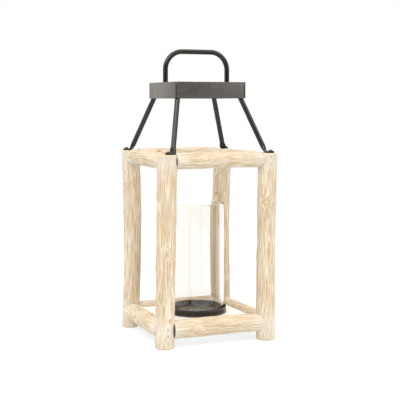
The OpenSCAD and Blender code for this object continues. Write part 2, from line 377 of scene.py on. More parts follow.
def grow(name, tree, values, place=None, start=None):
    """Runs a Geometry Nodes tree with these inputs, and keeps the result as a plain mesh."""
    seedling = bpy.data.objects.new(name + "_seedling", start or bpy.data.meshes.new("empty"))
    bpy.context.scene.collection.objects.link(seedling)
    modifier = seedling.modifiers.new("nodes", "NODES")
    modifier.node_group = tree
    named = {s.name: s.identifier for s in tree.interface.items_tree if s.in_out == "INPUT"}
    for key, value in values.items():
        modifier[named[key]] = value
    graph = bpy.context.evaluated_depsgraph_get()
    mesh = bpy.data.meshes.new_from_object(seedling.evaluated_get(graph),
                                           preserve_all_data_layers=True, depsgraph=graph)
    bpy.data.objects.remove(seedling)
    mesh.name = name
    if place is not None:
        mesh.transform(place)
    return mesh


peeled_log = log_tree()
print("log tree:", len(peeled_log.nodes), "nodes")


# %% [markdown]
# ## Four posts
# No two posts are alike: each stands a little out of true and bows one way. The lean is given
# at the foot and at the head, and the bow at half height, all in one level direction. Paint
# pooled where the rails meet a post, so each log is told where its joints are.

# %% Posts
LEAN_HEADING = math.radians(22)
LEAN_WAY = Vector((math.cos(LEAN_HEADING), -math.sin(LEAN_HEADING), 0))
RING_GAP, LOG_ANGLE = 2.4 * MM, 50
TOP_RING, LOW_RING = middle("top_rail_front").z, middle("bottom_rail_front").z
posts = {}


def make_post(name, radius, foot, head, bow, taper, seed):
    """One post, with its lean at foot and head and its bow in millimetres."""
    centre, height = middle(name), extent(name).z
    posts[name] = dict(centre=centre, foot=foot * MM, head=head * MM, bow=bow * MM,
                       height=height, radius=radius * MM)
    mesh = grow(name + "_log", peeled_log, {
        "Length": height, "Radius": radius * MM, "Taper": taper, "Seed": seed,
        "Rings": int(height / RING_GAP), "Start Shift": LEAN_WAY * foot * MM,
        "End Shift": LEAN_WAY * head * MM, "Bow": LEAN_WAY * bow * MM,
        "Joint Low": LOW_RING - centre.z, "Joint High": TOP_RING - centre.z,
        "Material": log_wood}, Matrix.Translation(centre))
    make_piece(mesh, log_wood, "whitewashed_log", name, smooth_angle=LOG_ANGLE)


def post_axis(name, z):
    """Where the bent axis of a post passes a height."""
    p = posts[name]
    t = z / p["height"]
    lean = p["foot"] + (p["head"] - p["foot"]) * t + p["bow"] * (1 - (2 * t - 1) ** 2)
    return Vector((p["centre"].x, p["centre"].y, z)) + LEAN_WAY * lean


make_post("post_front_left", 14.8, foot=-2.7, head=2.0, bow=-0.1, taper=0.02, seed=1.0)
make_post("post_front_right", 14.7, foot=0.4, head=2.3, bow=-1.1, taper=-0.02, seed=2.0)
make_post("post_back_left", 14.1, foot=-2.0, head=0.6, bow=3.4, taper=0.05, seed=3.0)
make_post("post_back_right", 15.0, foot=0.2, head=-0.4, bow=-4.1, taper=-0.03, seed=4.0)

# %% [markdown]
# ## Eight rails
# A rail runs from post to post and its ends are pared hollow, roughly, to sit against the
# round posts. Each is placed by its two end points, which lie a little inside the posts'
# leaning axes, so no joint opens.

# %% Rails
SEAT_DEPTH = 2.5 * MM


def make_rail(name, start_post, end_post, radius, drop, bow, seed, flat_start=None):
    """One rail. drop is how far it lies under its nominal height. flat_start cuts the start
    square instead of hollow, and sets it this much deeper; that start cap is painted nearly
    black, painted shade for the open gap there. All are in millimetres."""
    z = middle(name).z - drop * MM
    a, b = post_axis(start_post, z), post_axis(end_post, z)
    along = (b - a).normalized()
    inset = posts[start_post]["radius"] - SEAT_DEPTH
    deeper = (flat_start or 0) * MM
    a, b = a + along * (inset - deeper), b - along * inset
    up = Vector((0, 0, 1))
    across = up.cross(along)
    place = Matrix((across, up, along)).transposed().to_4x4()
    place.translation = (a + b) / 2
    length = (b - a).length
    mesh = grow(name + "_log", peeled_log, {
        "Length": length, "Radius": radius * MM, "Taper": 0.03 * (-1) ** int(seed), "Seed": seed,
        "Rings": int(length / RING_GAP), "Bow": Vector((bow * MM, 0.3 * MM, 0)),
        "Start Cope": float(flat_start is None), "End Cope": 1.0,
        # A square start gets painted shade on its cap, for the gap it leaves.
        "Dark Start": float(flat_start is not None), "Post Radius": posts[start_post]["radius"],
        "Eased Edge": 1.0 * MM, "Joint Low": -length / 2, "Joint High": length / 2,
        "Material": log_wood}, place)
    make_piece(mesh, log_wood, "whitewashed_log", name, smooth_angle=LOG_ANGLE)


SIDES = {"front": ("post_front_left", "post_front_right"),
         "back": ("post_back_left", "post_back_right"),
         "left": ("post_front_left", "post_back_left"),
         "right": ("post_front_right", "post_back_right")}
make_rail("top_rail_front", *SIDES["front"], 12.0, 0.0, 0.3, seed=11.0, flat_start=1.2)
make_rail("top_rail_back", *SIDES["back"], 12.0, -0.5, -0.4, seed=12.0)
make_rail("top_rail_left", *SIDES["left"], 12.2, 0.3, 0.5, seed=13.0)
make_rail("top_rail_right", *SIDES["right"], 11.8, 1.5, -0.3, seed=14.0)
make_rail("bottom_rail_front", *SIDES["front"], 14.2, -0.3, -0.3, seed=15.0, flat_start=1.9)
make_rail("bottom_rail_back", *SIDES["back"], 13.9, -0.5, 0.3, seed=16.0)
make_rail("bottom_rail_left", *SIDES["left"], 14.4, 1.0, 0.2, seed=17.0)
make_rail("bottom_rail_right", *SIDES["right"], 13.2, 0.5, -0.2, seed=18.0)

# %% [markdown]
# ## The board
# One planed board closes the floor. Its edges are only broken with sandpaper, and the plane
# left faint waves across the grain. A cube with many points is pulled to a rounded box, and
# the top is waved by a noise stretched along the grain.

# %% Board
PLANE_WAVES = (110.0, 18.0, 110.0)    # to the metre: 9 mm across the grain, 55 mm along it


def board_tree():
    """A planed board, centred on the origin, with its grain along Y."""
    tree, inp = new_tree("planed_board", {
        "Half Size": (0.07, 0.07, 0.005), "Edge Radius": 0.0009, "Wave": 0.00035,
        "Material": "Material"})
    n = partial(add, tree)
    cube = n("GeometryNodeMeshCube", {"Size": n(SCALE, {0: inp["Half Size"], "Scale": 2.0}),
                                      "Vertices X": 120, "Vertices Y": 120, "Vertices Z": 10})
    position = n("GeometryNodeInputPosition")
    edge = inp["Edge Radius"]
    core = n(V_SUB, inp["Half Size"], n(JOIN, edge, edge, edge))
    nearest = n(V_MIN, n(V_MAX, position, n(SCALE, {0: core, "Scale": -1.0})), core)
    outward = n(UNIT, n(V_SUB, position, nearest))
    x, y, z = n(SPLIT, position, out=None).outputs
    wave = n(NOISE, {"Vector": n(V_MUL, position, PLANE_WAVES), "Scale": 1.0, "Detail": 2.0},
             out="Fac")
    reach = n(ADD, edge, n(MUL, n(SUB, wave, 0.6), inp["Wave"]))
    place = n(V_ADD, nearest, n(SCALE, {0: outward, "Scale": reach}))
    shape = n(STORE, {"Geometry": cube, "Name": "grain", "Value": n(JOIN, x, z, y)},
              data_type="FLOAT_VECTOR")
    shape = n(MOVE, {"Geometry": shape, "Position": place})
    return hand_over(tree, shape, inp["Material"])


board_mesh = grow("floor_board", board_tree(),
                  {"Half Size": extent("platform_board") / 2, "Material": board_wood},
                  Matrix.Translation(middle("platform_board")))
make_piece(board_mesh, board_wood, "whitewashed_board", "platform_board")

# %% [markdown]
# ## Black lacquered steel
# The tray, band and rods are mild steel under a satin black lacquer. Lacquer hides the metal,
# so the shader is a dark coat that is not metallic. It is brushed on by hand: the shine
# changes in patches a few millimetres wide, small dips show as bump, and where the coat is
# thin it turns a warm grey brown. The tray's floor is painted a paler grey, a painted
# reflection of the bright room on its satin coat.

# %% Lacquer, bare steel and zinc
SPECK_MM, SPECK_DEPTH_MM = 0.9, 0.012
# The grey here is painted on the tray's floor as a painted reflection of the bright surroundings.
LACQUER_IOR, PAINTED_FLOOR_REFLECTION = 1.5, "8C887C"


def lacquer(name, dark, worn, patch_mm, low_rough, high_rough, dip_mm, painted_reflection_below=-1.0):
    """A black coat on steel, with patches of this size. Below the height given as the last
    argument it is painted a paler grey: a painted reflection of the bright surroundings."""
    material, shader, n = new_material(name)
    place = n("ShaderNodeTexCoord", out="Object")
    patches = n(NOISE, {"Vector": place, "Scale": 1 / (patch_mm * MM), "Detail": 1.5})
    specks = n(NOISE, {"Vector": place, "Scale": 1 / (SPECK_MM * MM), "Detail": 3.0})
    rubbed = n(RANGE, patches, 0.52, 0.75)
    tint = n(BLEND, {0: rubbed, 6: colour(dark), 7: colour(worn)}, out=2)
    # Below the given height the colour turns a paler grey: a painted reflection on the tray's
    # floor.
    low = n(UNDER, n(SPLIT, place, out="Z"), painted_reflection_below)
    tint = n(BLEND, {0: low, 6: tint, 7: colour(PAINTED_FLOOR_REFLECTION)}, out=2)
    rough = n(RANGE, patches, 0.3, 0.7, low_rough, high_rough)
    dips = n(BUMP, {"Height": patches, "Strength": 0.7, "Distance": dip_mm * MM})
    grit = n(BUMP, {"Height": specks, "Strength": 0.2, "Distance": SPECK_DEPTH_MM * MM,
                    "Normal": dips})
    fill(shader, {"Base Color": tint, "Roughness": rough, "Normal": grit, "IOR": LACQUER_IOR})
    return material


def bare_metal(name, hex_code, dull_hex, patch_mm, low_rough, high_rough):
    """A small piece of uncoated or plated metal, dulled in patches."""
    material = lacquer(name, hex_code, dull_hex, patch_mm, low_rough, high_rough, 0.05)
    fill(material.node_tree.nodes["Principled BSDF"], {"Metallic": 1.0})
    return material


rod_black = lacquer("satin_black_lacquer_on_rod", "14100D", "1F1A16", 6.0, 0.15, 0.24, 0.02)
band_black = lacquer("satin_black_lacquer_on_flat_bar", "484541", "524F4A", 9.0, 0.28, 0.38, 0.03)
# The tray's floor, up to just over its top, gets the painted reflection.
just_over_tray_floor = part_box("candle_tray")[0].z + 1.4 * MM
tray_black = lacquer("satin_black_lacquer_on_sheet", "181412", "241F1B", 9.0, 0.20, 0.32, 0.04,
                     painted_reflection_below=just_over_tray_floor)
screw_black = lacquer("black_oxide_on_screws", "1D1815", "4A4036", 2.0, 0.30, 0.50, 0.04)
brad_steel = bare_metal("whitened_steel_brads", "C9C2B6", "9A8F80", 1.5, 0.45, 0.65)
zinc = bare_metal("zinc_plated_screw", "B9B7AE", "8C8678", 1.2, 0.30, 0.50)
print("metal finishes:", [m.name for m in (rod_black, band_black, tray_black, screw_black)])

# %% [markdown]
# ## Turned and swept shapes
# The tray was spun from sheet and the chimney cut from tube, so both are a profile turned
# round Z. The rods are a section carried along a bent line. Small functions do this: they
# share the closing of seams, and they keep the faces pointing out.

# %% Turning and sweeping
def close_up(name, mesh_tool):
    """Merges doubled points, turns the faces outward and returns a mesh."""
    bmesh.ops.remove_doubles(mesh_tool, verts=mesh_tool.verts, dist=1e-7)
    bmesh.ops.recalc_face_normals(mesh_tool, faces=mesh_tool.faces)
    mesh = bpy.data.meshes.new(name)
    mesh_tool.to_mesh(mesh)
    mesh_tool.free()
    return mesh


def turn(name, profile, sides=128, dent=None):
    """Turns a closed profile of (radius, height) round Z. dent moves single points."""
    tool = bmesh.new()
    rings = []
    for i in range(sides):
        a = 2 * math.pi * i / sides
        ring = [Vector((r * math.cos(a), r * math.sin(a), z)) for r, z in profile]
        rings.append([tool.verts.new(dent(p) if dent else p) for p in ring])
    for i in range(sides):
        here, there = rings[i], rings[(i + 1) % sides]
        for j in range(len(profile)):
            k = (j + 1) % len(profile)
            if profile[j][0] == 0 and profile[k][0] == 0:
                continue
            tool.faces.new((here[j], there[j], there[k], here[k]))
    bmesh.ops.dissolve_degenerate(tool, edges=tool.edges, dist=1e-7)
    return close_up(name, tool)


def rounded(points, radius, steps=6):
    """A closed outline with its corners rounded, as far as its short edges allow."""
    out = []
    points = [Vector(p) for p in points]
    for before, corner, after in zip(points[-1:] + points[:-1], points, points[1:] + points[:1]):
        into, away = before - corner, after - corner
        cut = min(radius, into.length * 0.48, away.length * 0.48)
        if corner.x == 0 or cut <= 0:
            out.append(corner)
            continue
        a, b = corner + into.normalized() * cut, corner + away.normalized() * cut
        for s in range(steps + 1):
            t = s / steps
            out.append(a * (1 - t) ** 2 + corner * 2 * t * (1 - t) + b * t ** 2)
    return out


def hold_straight(outline, near=0.3 * MM, longest=12 * MM):
    """Adds points close to both ends of each long straight run, and along it. Without them the
    soft shading of a rounded edge would creep over the whole flat wall and bend its light."""
    out = []
    for here, there in zip(outline, outline[1:] + outline[:1]):
        here, there = Vector(here), Vector(there)
        out.append(here)
        run = (there - here).length
        if run > 6 * near and not (here.x == 0 and there.x == 0):
            steps = max(1, round(run / longest))
            shares = [near / run] + [k / steps for k in range(1, steps)] + [1 - near / run]
            out += [here.lerp(there, share) for share in shares]
    return out


def sweep(name, path, section, up):
    """Carries section(i) along a path, and closes both ends. up keeps it from twisting."""
    tool = bmesh.new()
    rings = []
    for i, p in enumerate(path):
        ahead = (path[min(i + 1, len(path) - 1)] - path[max(i - 1, 0)]).normalized()
        side = ahead.cross(up).normalized()
        lift = side.cross(ahead)
        outline = section(i)
        rings.append([tool.verts.new(p + side * u + lift * v) for u, v in outline])
    count = len(rings[0])
    for here, there in zip(rings, rings[1:]):
        for j in range(count):
            k = (j + 1) % count
            tool.faces.new((here[j], here[k], there[k], there[j]))
    tool.faces.new(rings[0][::-1])
    tool.faces.new(rings[-1])
    return close_up(name, tool)


# %% [markdown]
# ## The tray and its screw
# The tray is a shallow dish with a flat floor. Its edge is turned over into a small round lip
# and its lower corner is soft, as sheet metal bends. A countersunk screw holds it to the board
# from above. The cross in its head is pressed in by moving the points near two lines down.

# %% Tray and tray screw
tray_low, tray_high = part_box("candle_tray")
TRAY_RADIUS = (tray_high.x - tray_low.x) / 2
SHEET, LIP, SOFT_CORNER = 1.2 * MM, 1.1 * MM, 2.0 * MM
tray_top, tray_floor = tray_high.z, tray_low.z
HOLE = 3.0 * MM


def tray_outline():
    """The section of the tray's sheet, from the screw hole out, up to the lip and back."""
    outer = [(HOLE, tray_floor), (TRAY_RADIUS - SOFT_CORNER, tray_floor)]
    outer += [(TRAY_RADIUS - SOFT_CORNER * (1 - math.sin(a)),
               tray_floor + SOFT_CORNER * (1 - math.cos(a)))
              for a in np.linspace(0.2, math.pi / 2, 6)]
    wall_in = TRAY_RADIUS - SHEET
    lip_z, lip_r = tray_top - LIP, TRAY_RADIUS - LIP * 0.8
    outer += [(TRAY_RADIUS - 0.4 * MM, tray_top - 3.2 * LIP)]
    outer += [(lip_r + LIP * 0.8 * math.cos(a), lip_z + LIP * math.sin(a))
              for a in np.linspace(-0.9, math.pi + 0.9, 14)]
    inner_corner = SOFT_CORNER - SHEET * 0.5
    outer += [(wall_in - 0.4 * MM, tray_top - 3.2 * LIP)]
    outer += [(wall_in - inner_corner * (1 - math.cos(a)),
               tray_floor + SHEET + inner_corner * (1 - math.sin(a)))
              for a in np.linspace(0, math.pi / 2, 6)]
    outer += [(HOLE + SHEET, tray_floor + SHEET)]
    return outer


make_piece(turn("spun_tray", hold_straight(tray_outline()), 144), tray_black,
           "black_sheet_steel", "candle_tray")


def cross_recess(top, arm, width, depth):
    """Moves the points of a screw head near two crossed lines down."""
    def press(p):
        near = min(abs(p.x), abs(p.y))
        inside = max(0.0, 1 - near / width) * max(0.0, 1 - (p.xy.length / arm) ** 4)
        return Vector((p.x, p.y, p.z - depth * min(1.0, inside * 2))) if p.z > top else p
    return press


screw_low, screw_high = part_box("tray_screw")
head = extent("tray_screw").x / 2
shank = 1.75 * MM
flat_top = [(head * s, screw_high.z) for s in np.linspace(1, 0, 16)]
outline = [(0, screw_low.z), (shank, screw_low.z + 1.5 * MM), (shank, screw_high.z - 1.3 * MM),
           (head, screw_high.z - 0.1 * MM)] + flat_top
pressed = cross_recess(screw_high.z - 0.05 * MM, 2.0 * MM, 0.55 * MM, 0.9 * MM)
make_piece(turn("tray_screw_head", outline, 48, pressed), zinc, "zinc_screw", "tray_screw",
           smooth_angle=30)

# %% [markdown]
# ## The glass chimney
# The chimney is a length of drawn borosilicate tube. Its cut rims are fire-polished, which
# rounds them and makes them catch the light. A closed wall with real thickness bends light
# as the real tube does: a plain transmission shader is enough, with the faintest warm tint
# and a slow ripple that drawing leaves in the wall.

# %% Glass
glass_low, glass_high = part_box("glass_cylinder")
GLASS_RADIUS, GLASS_WALL = (glass_high.x - glass_low.x) / 2, 3.0 * MM
RIPPLE_WIDE, RIPPLE_LONG, RIPPLE_DEEP = 33 * MM, 170 * MM, 0.05 * MM
GLASS_IOR = 1.47
wall_outline = hold_straight(rounded([
    (GLASS_RADIUS, glass_low.z), (GLASS_RADIUS, glass_high.z),
    (GLASS_RADIUS - GLASS_WALL, glass_high.z), (GLASS_RADIUS - GLASS_WALL, glass_low.z)],
    GLASS_WALL * 0.48, 8))
clear, glass_shader, n = new_material("fire_polished_borosilicate_glass")
drawn = n("ShaderNodeMapping", {"Vector": n("ShaderNodeTexCoord", out="Object"),
                                "Scale": (1 / RIPPLE_WIDE, 1 / RIPPLE_WIDE, 1 / RIPPLE_LONG)})
ripple = n(NOISE, {"Vector": drawn, "Scale": 1.0})
smear = n(RANGE, {0: ripple, 3: 0.0, 4: 0.01})
waves = n(BUMP, {"Height": ripple, "Strength": 0.1, "Distance": RIPPLE_DEEP})
fill(glass_shader, {"Transmission Weight": 1.0, "IOR": GLASS_IOR, "Base Color": colour("F4F1EC"),
                    "Roughness": smear, "Normal": waves})
make_piece(turn("glass_chimney", wall_outline, 160), clear, "clear_glass", "glass_cylinder",
           body=LOOSE, smooth_angle=60)

# %% [markdown]
# ## The square band
# The band is four lengths of flat bar. The front and back bars stand between the side bars,
# welded from inside, and their butt joints are left as thin dark lines near the corners. So
# four bars with soft edges are made, with a real gap at each joint.

# %% Band
band_low, band_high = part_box("top_band")
BAND_HALF, BAND_WALL = (band_high.x - band_low.x) / 2, 2.0 * MM
EDGE, JOINT_STEP, JOINT_GAP = 0.35 * MM, 0.12 * MM, 0.7 * MM


def flat_bar(along_x, side, start, end):
    """One bar on one side of the band, from start to end along it, with its edges softened."""
    tool = bmesh.new()
    bmesh.ops.create_cube(tool, size=1.0)
    size = Vector((end - start, BAND_WALL, band_high.z - band_low.z))
    centre = Vector(((start + end) / 2, side * (BAND_HALF - BAND_WALL / 2),
                     (band_low.z + band_high.z) / 2))
    bmesh.ops.scale(tool, vec=size, verts=tool.verts)
    bmesh.ops.bevel(tool, geom=tool.edges[:], offset=EDGE, segments=3, affect="EDGES",
                    profile=0.5)
    bmesh.ops.translate(tool, vec=centre, verts=tool.verts)
    if not along_x:
        bmesh.ops.rotate(tool, matrix=Matrix.Rotation(math.radians(90), 3, "Z"), verts=tool.verts)
    return tool


def join_tools(name, tools):
    """Several bmeshes as one mesh."""
    whole = bmesh.new()
    for tool in tools:
        part = bpy.data.meshes.new("part")
        tool.to_mesh(part)
        tool.free()
        whole.from_mesh(part)
        bpy.data.meshes.remove(part)
    mesh = bpy.data.meshes.new(name)
    whole.to_mesh(mesh)
    whole.free()
    return mesh


between = BAND_HALF - BAND_WALL - JOINT_GAP
full = BAND_HALF - JOINT_STEP
bars = [flat_bar(along_x, side, -reach, reach)
        for along_x, reach in ((True, between), (False, full)) for side in (-1, 1)]
make_piece(join_tools("square_band", bars), band_black, "black_flat_bar", "top_band",
           smooth_angle=20)

# %% [markdown]
# ## The handle
# One rod is bent twice and its legs run down inside the band. A curve with two rounded
# corners and a round section does this in Geometry Nodes. A slow noise on the surface leaves
# the marks that hammering over a former gives a real rod.

# %% Handle
DENT_SIZE = 22 * MM


def handle_tree():
    """A rod bent to a square-shouldered bow in XZ, standing on its two legs."""
    tree, inp = new_tree("bent_handle", {
        "Half Width": 0.05, "Height": 0.07, "Bend Radius": 0.028, "Rod Radius": 0.004,
        "Hammer Depth": 0.00010, "Material": "Material"})
    n = partial(add, tree)
    outline = n("GeometryNodeMeshLine", {"Count": 4})
    index = n("GeometryNodeInputIndex")
    right_half = n(OVER, index, 1.5)
    at_top = n(MUL, n(OVER, index, 0.5), n(UNDER, index, 2.5))
    x = n(MUL, inp["Half Width"], n(SUB, n(MUL, right_half, 2.0), 1.0))
    corner = n(JOIN, x, 0.0, n(MUL, at_top, inp["Height"]))
    outline = n(MOVE, {"Geometry": outline, "Position": corner})
    line = n("GeometryNodeMeshToCurve", {0: outline})
    line = n("GeometryNodeFilletCurve",
             {"Curve": line, "Count": 24, "Radius": inp["Bend Radius"], "Limit Radius": True},
             mode="POLY")
    line = n("GeometryNodeResampleCurve", {"Curve": line, "Count": 190})
    ring = n("GeometryNodeCurvePrimitiveCircle", {"Resolution": 36, "Radius": inp["Rod Radius"]})
    rod = n("GeometryNodeCurveToMesh", {"Curve": line, "Profile Curve": ring, "Fill Caps": True})
    place = n("GeometryNodeInputPosition")
    dents = n(NOISE, {"Vector": place, "Scale": 1 / DENT_SIZE, "Detail": 0.0})
    depth = n(MUL, n(SUB, dents, 0.65), inp["Hammer Depth"])
    normal = n("GeometryNodeInputNormal")
    rod = n(MOVE, {"Geometry": rod, "Offset": n(SCALE, {0: normal, "Scale": depth})})
    return hand_over(tree, rod, inp["Material"])


handle_low, handle_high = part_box("handle")
ROD = (handle_high.y - handle_low.y) / 2
rod_centre = handle_high.x - ROD
handle_mesh = grow("bent_handle", handle_tree(), {
    "Half Width": rod_centre, "Height": handle_high.z - ROD - handle_low.z,
    "Bend Radius": 28 * MM, "Rod Radius": ROD, "Material": rod_black},
    Matrix.Translation((0, 0, handle_low.z)))
make_piece(handle_mesh, rod_black, "black_rod", "handle", smooth_angle=50)

# %% [markdown]
# ## Four stays
# Each stay stands in a corner of the band, bends sharply under it, runs down and out to the
# top of its post, and ends hammered flat for a screw. The section changes along the way, from
# a circle to a flat bar, so a sweep with its own section at each step suits it. The path is a
# chain of points with the bends rounded.

# %% Stays
TAB_WIDTH, TAB_THICK, POST_TOP = 11 * MM, 3 * MM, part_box("post_back_right")[1].z
KNEE_HEIGHT = band_low.z + 1 * MM
STAY_STEP, FORGED_OVER, WOBBLE = 1.0 * MM, 9 * MM, 0.012


def smooth_path(corners, radii, step):
    """A chain of points through corners, each rounded, with even steps."""
    chain = [corners[0]]
    for before, corner, after, radius in zip(corners, corners[1:], corners[2:], radii):
        into, away = (before - corner).normalized(), (after - corner).normalized()
        half_turn = into.angle(away) / 2
        cut = min(radius / math.tan(half_turn), (before - corner).length * 0.45,
                  (after - corner).length * 0.45)
        a, b = corner + into * cut, corner + away * cut
        for s in range(9):
            t = s / 8
            chain.append(a * (1 - t) ** 2 + corner * 2 * t * (1 - t) + b * t ** 2)
    chain.append(corners[-1])
    even = [chain[0]]
    for here, there in zip(chain, chain[1:]):
        pieces = max(1, round((there - here).length / step))
        even += [here.lerp(there, k / pieces) for k in range(1, pieces + 1)]
    return even


def rod_section(half_width, half_thick, roundness, count=32):
    """An outline between a circle, at 1, and a flat bar with soft edges, at 0."""
    power = 2 + (1 - roundness) * 4
    points = []
    for j in range(count):
        a = 2 * math.pi * j / count
        c, s = math.cos(a), math.sin(a)
        points.append((half_width * math.copysign(abs(c) ** (2 / power), c),
                       half_thick * math.copysign(abs(s) ** (2 / power), s)))
    return points


def make_stay(name, corner, heel, tab_end):
    """A stay in the band's corner. heel is where it turns flat and tab_end where the tab ends."""
    top = Vector((corner[0] * rod_centre, corner[1] * rod_centre, band_high.z - 5 * MM))
    knee = Vector((top.x, top.y, KNEE_HEIGHT))
    tab_centre_z = POST_TOP + TAB_THICK / 2
    heel = Vector((heel[0], heel[1], tab_centre_z))
    tab_end = Vector((tab_end[0], tab_end[1], tab_centre_z))
    path = smooth_path([top, knee, heel, tab_end], [6 * MM, 5 * MM], STAY_STEP)
    flat_start = (tab_end - heel).length + 4 * MM
    to_end = [0.0]
    for here, there in zip(path[::-1], path[-2::-1]):
        to_end.append(to_end[-1] + (there - here).length)
    to_end.reverse()
    up = (tab_end - heel).cross(Vector((0, 0, 1)))

    def section(i):
        """The outline at step i: round at first, then flat with a round end."""
        d = to_end[i]
        flat = min(1.0, max(0.0, (flat_start + 6 * MM - d) / FORGED_OVER))
        flat = flat * flat * (3 - 2 * flat)
        width = ROD + (TAB_WIDTH / 2 - ROD) * flat
        round_end = TAB_WIDTH / 2
        if d < round_end:
            width *= math.sqrt(max(0.02, 1 - (1 - d / round_end) ** 2))
        thick = ROD + (TAB_THICK / 2 - ROD) * flat
        wobble = 1 + WOBBLE * (math.sin(i * 0.31 + corner[0]) + math.sin(i * 0.13 + corner[1]))
        return rod_section(thick * wobble, width * wobble, 1 - flat)

    make_piece(sweep(name + "_rod", path, section, up), rod_black, "black_rod", name,
               smooth_angle=40)


SCREW_OUT, HEEL_IN, TAB_ROUND = 5 * MM, 1 * MM, 5.5 * MM
screw_places = []
for where in ("front_left", "front_right", "back_left", "back_right"):
    centre = middle("post_" + where)
    corner = (math.copysign(1, centre.x), math.copysign(1, centre.y))
    out = Vector((*corner, 0))
    heel, hole = centre - out * HEEL_IN, centre + out * SCREW_OUT
    if where == "front_left":    # bent by hand to come down over the end of the front rail
        heel, hole = centre + Vector((11, -0.4, 0)) * MM, centre + Vector((3.2, -4, 0)) * MM
    tab_end = hole + (hole - heel).normalized() * TAB_ROUND
    make_stay("stay_" + where, corner, heel, tab_end)
    screw_places.append(Vector((hole.x, hole.y, POST_TOP + TAB_THICK)))

# %% [markdown]
# ## Screws, brads and weld beads
# What repeats is made once and placed many times. A mesh of loose points says where, and a
# direction stored on each point says which way the piece faces. One tree then sets a copy of
# the shape on every point, turned to its direction, with a small turn and size of its own.

# %% The tree that places copies
def copies_tree():
    """Places one object's shape on every point of the incoming mesh, along its direction."""
    tree, inp = new_tree("copies_on_points", {
        "Points": "Geometry", "Shape": "Object", "Size Spread": 0.05, "Tilt": 0.05,
        "Seed": 5, "Material": "Material"})
    n = partial(add, tree)
    shape = n("GeometryNodeObjectInfo", {"Object": inp["Shape"]}, out="Geometry")
    way = n("GeometryNodeInputNamedAttribute", {"Name": "direction"}, data_type="FLOAT_VECTOR")
    lean = n("FunctionNodeRandomValue", {0: (-1, -1, -1), 1: (1, 1, 1), "Seed": inp["Seed"]},
             data_type="FLOAT_VECTOR")
    way = n(V_ADD, way, n(SCALE, {0: lean, "Scale": inp["Tilt"]}))
    turn_to = n("FunctionNodeAlignRotationToVector", {"Vector": way}, axis="Z")
    spin = n("FunctionNodeRandomValue", {2: 0.0, 3: math.tau, "Seed": inp["Seed"]},
             data_type="FLOAT", out=1)
    spin = n("FunctionNodeAxisAngleToRotation", {"Axis": (0, 0, 1), "Angle": spin})
    turned = n("FunctionNodeRotateRotation", {"Rotation": turn_to, "Rotate By": spin},
               rotation_space="LOCAL")
    low, high = n(SUB, 1.0, inp["Size Spread"]), n(ADD, 1.0, inp["Size Spread"])
    size = n("FunctionNodeRandomValue", {2: low, 3: high, "Seed": inp["Seed"]}, data_type="FLOAT",
             out=1)
    placed = n("GeometryNodeInstanceOnPoints",
               {"Points": inp["Points"], "Instance": shape, "Rotation": turned, "Scale": size})
    return hand_over(tree, placed, inp["Material"])


def points_mesh(name, places, directions):
    """Loose points with a direction on each."""
    mesh = bpy.data.meshes.new(name)
    mesh.from_pydata([tuple(p) for p in places], [], [])
    stored = mesh.attributes.new("direction", "FLOAT_VECTOR", "POINT")
    stored.data.foreach_set("vector", [c for d in directions for c in d])
    return mesh


copies = copies_tree()


def place_copies(name, shape_mesh, places, directions, material, spread, tilt, seed):
    """Copies of one shape on these places, as one mesh."""
    shape = bpy.data.objects.new("shape", shape_mesh)
    bpy.context.scene.collection.objects.link(shape)
    mesh = grow(name, copies, {"Shape": shape, "Material": material, "Size Spread": spread,
                               "Tilt": tilt, "Seed": seed},
                start=points_mesh(name + "_points", places, directions))
    bpy.data.objects.remove(shape)
    return mesh


# %% [markdown]
# ### Screws in the tabs
# A round-head wood screw holds each tab. The dome is turned and the cross pressed into it.

# %% Tab screws
SCREW_HEAD, SCREW_DOME, SCREW_SHANK, SCREW_LENGTH = 3.4 * MM, 2.2 * MM, 1.75 * MM, 22 * MM
dome = [(SCREW_HEAD * math.cos(a), SCREW_DOME * math.sin(a))
        for a in np.linspace(0.05, math.pi / 2, 18)]
dome[-1] = (0, SCREW_DOME)
screw_outline = [(0, -SCREW_LENGTH), (SCREW_SHANK * 0.3, -SCREW_LENGTH + 1 * MM),
                 (SCREW_SHANK, -SCREW_LENGTH + 5 * MM), (SCREW_SHANK, 0), (SCREW_HEAD, 0)] + dome
round_screw = turn("round_screw", screw_outline, 48,
                   cross_recess(0.3 * MM, 2.4 * MM, 0.6 * MM, 1.1 * MM))
up = Vector((0, 0, 1))
tab_screws = place_copies("tab_screws", round_screw, screw_places, [up] * 4, screw_black,
                          spread=0.02, tilt=0.02, seed=3)
make_piece(tab_screws, screw_black, "black_screw", "stay_screws", smooth_angle=40)

# %% [markdown]
# ### Brads
# Two brads cross each joint from either side. Only their flat heads show, driven just flush,
# and each post's lean moves its own brads with it.

# %% Brads
BRAD_GAP, BRAD_CROSS, HEAD_RADIUS, HEAD_THICK = 10 * MM, 1.2 * MM, 1.5 * MM, 0.8 * MM
BRAD_SHANK, BRAD_LENGTH, STANDS_OUT = 0.8 * MM, 30 * MM, 0.15 * MM
head_outline = rounded([(0, 0), (HEAD_RADIUS, 0), (HEAD_RADIUS, -HEAD_THICK),
                        (BRAD_SHANK, -HEAD_THICK), (BRAD_SHANK, -BRAD_LENGTH), (0, -BRAD_LENGTH)],
                       0.25 * MM, 3)
brad_shape = turn("brad", [tuple(p) for p in head_outline], 24)


def brads_of_ring(z_ring):
    """Places and directions of the sixteen brads of one ring of rails."""
    places, ways = [], []
    for name, post in posts.items():
        for along, cross in ((Vector((math.copysign(1, post["centre"].x), 0, 0)), BRAD_CROSS),
                             (Vector((0, math.copysign(1, post["centre"].y), 0)), -BRAD_CROSS)):
            for step in (-BRAD_GAP / 2, BRAD_GAP / 2):
                axis = post_axis(name, z_ring + step + cross)
                places.append(axis + along * (post["radius"] + STANDS_OUT))
                ways.append(along)
    return places, ways


